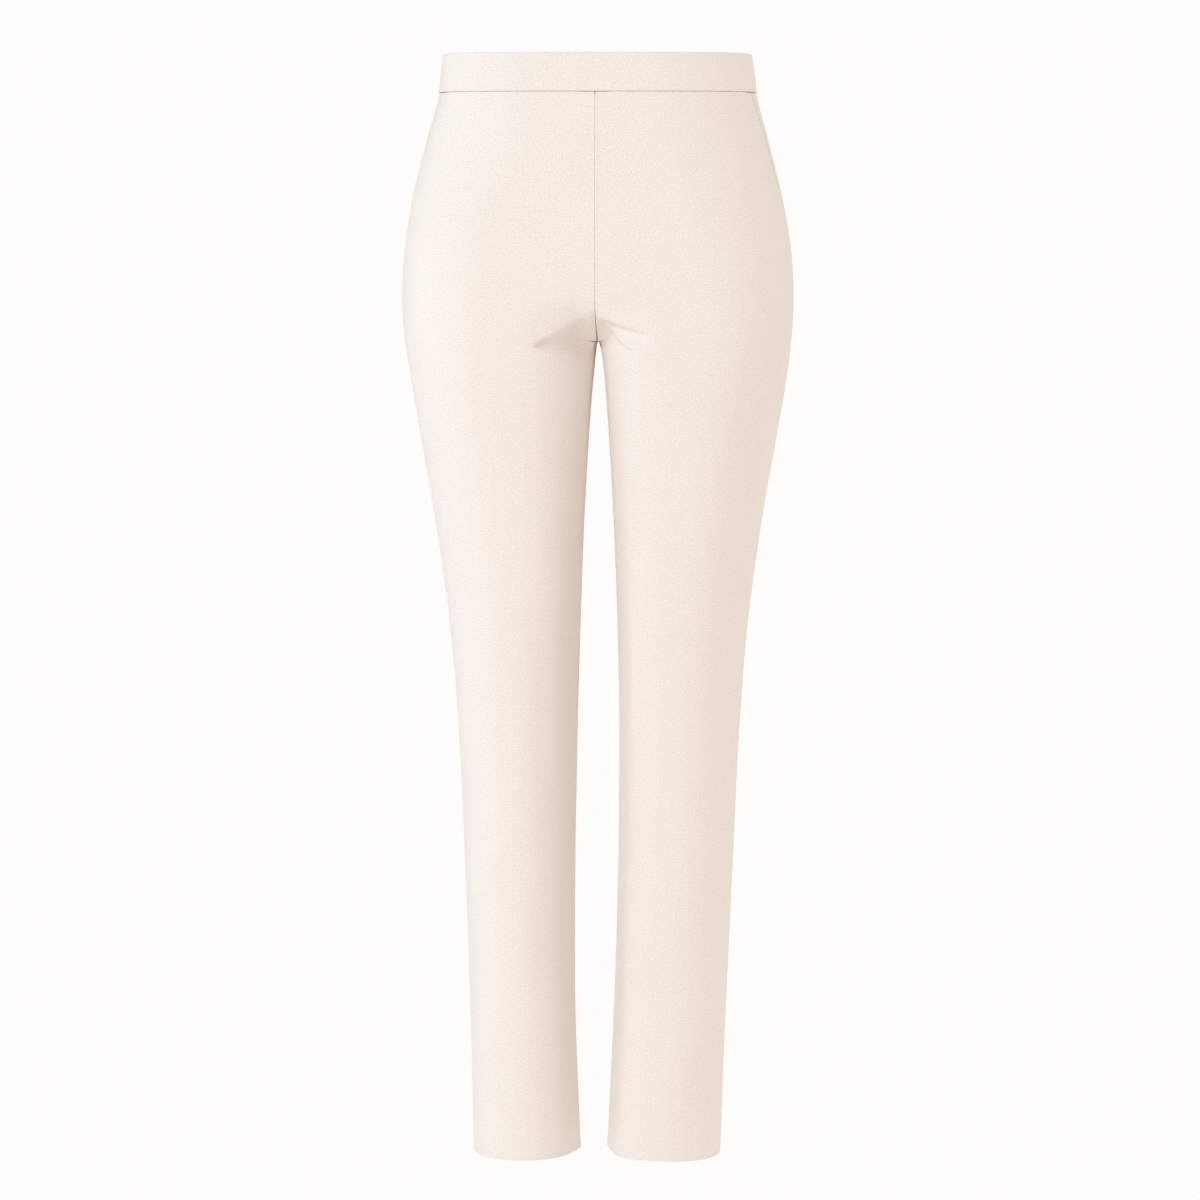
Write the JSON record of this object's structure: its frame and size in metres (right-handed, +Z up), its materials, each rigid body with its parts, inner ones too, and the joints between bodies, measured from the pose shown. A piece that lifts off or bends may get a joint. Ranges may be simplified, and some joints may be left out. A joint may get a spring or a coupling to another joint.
{
  "type": "stretch trousers",
  "caption": "Slim pull-on stretch trousers with a straight waistband, plain front, long tapered legs and open hems, filled out as if worn.",
  "frame": {"origin": "middle of the waist, half way up the waistband", "axes": "+Z up, -Y to the front, +X to the wearer's left"},
  "size_m": [0.364, 0.2231, 1.0378],
  "materials": {
    "trouser_cloth": "matt fine stretch weave, ivory",
    "waistband_cloth": "matt fine stretch weave, ivory, doubled over elastic"
  },
  "bodies": {
    "root": {"waistband": "waistband_cloth", "front_right": "trouser_cloth", "front_left": "trouser_cloth", "back_right": "trouser_cloth", "back_left": "trouser_cloth"}
  },
  "joints": []
}
